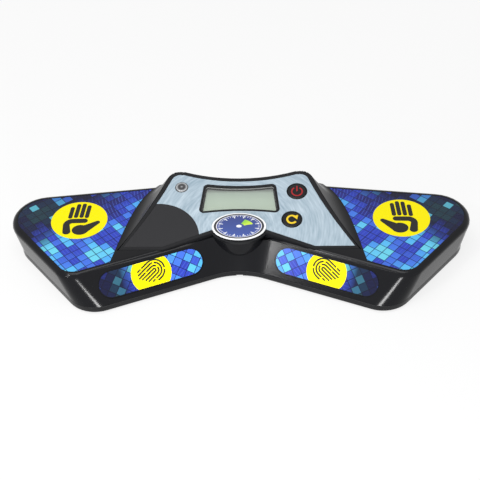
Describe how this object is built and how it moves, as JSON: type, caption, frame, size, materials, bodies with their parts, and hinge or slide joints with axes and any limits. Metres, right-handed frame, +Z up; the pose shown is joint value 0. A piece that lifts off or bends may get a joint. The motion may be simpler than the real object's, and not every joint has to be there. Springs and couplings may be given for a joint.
{
  "type": "touch timer",
  "caption": "Two-handed touch timer for cube solving: hand and finger pads on two wings, tilted console with a blank display and push buttons.",
  "frame": {"origin": "middle of the footprint, on the table under the rubber feet", "axes": "+X to the right along the wings, +Y to the rear edge with the data jack, +Z up"},
  "size_m": [0.2886, 0.0928, 0.038],
  "materials": {
    "shell_black": "glossy black ABS",
    "bezel_black": "satin black ABS",
    "silver_plate": "brushed silver film",
    "badge_print": "printed and domed",
    "clear_window": "clear",
    "lcd_glass": "grey-green display glass",
    "lens_grey": "smoked clear plastic",
    "button_black": "satin black with a printed sign",
    "hand_print": "printed film, satin",
    "finger_print": "printed film, satin",
    "copper_foil": "copper foil",
    "board_green": "solder mask",
    "white_plastic": "moulded",
    "switch_grey": "moulded",
    "plunger_amber": "moulded",
    "chip_black": "epoxy",
    "cell_wrap": "shrink wrap",
    "spring_steel": "nickel plated",
    "foot_rubber": "matte"
  },
  "bodies": {
    "housing": {"lower_shell": "shell_black", "upper_shell": "shell_black", "console_bezel": "bezel_black", "console_plate": "silver_plate", "badge": "badge_print", "lcd_surround": "bezel_black", "lcd_window": "clear_window", "lcd_panel": "lcd_glass", "lcd_carrier": "white_plastic", "led_lens": "lens_grey", "led": "white_plastic", "power_switch": "switch_grey", "reset_switch": "switch_grey", "main_board": "board_green", "controller": "chip_black", "board_screws": "spring_steel", "left_hand_pad": "hand_print", "right_hand_pad": "hand_print", "left_finger_pad": "finger_print", "right_finger_pad": "finger_print", "left_hand_sensor": "copper_foil", "right_hand_sensor": "copper_foil", "left_finger_sensor": "copper_foil", "right_finger_sensor": "copper_foil", "front_cell": "cell_wrap", "rear_cell": "cell_wrap", "cell_contacts": "spring_steel", "cell_springs": "spring_steel", "data_jack": "chip_black", "case_screws": "spring_steel", "feet": "foot_rubber"},
    "power_key": {"power_button": "button_black", "power_plunger": "plunger_amber"},
    "reset_key": {"reset_button": "button_black", "reset_plunger": "plunger_amber"},
    "door": {"battery_door": "shell_black"}
  },
  "joints": [
    {"name": "power_press", "type": "slide", "parent": "housing", "child": "power_key", "axis": [0, 0.2164, -0.9763], "range_m": [0, 0.0005], "stiffness_N_per_m": 800},
    {"name": "reset_press", "type": "slide", "parent": "housing", "child": "reset_key", "axis": [0, 0.2164, -0.9763], "range_m": [0, 0.0005], "stiffness_N_per_m": 800},
    {"name": "door_slide", "type": "slide", "parent": "housing", "child": "door", "axis": [0, 1, 0], "range_m": [0, 0.03]}
  ]
}
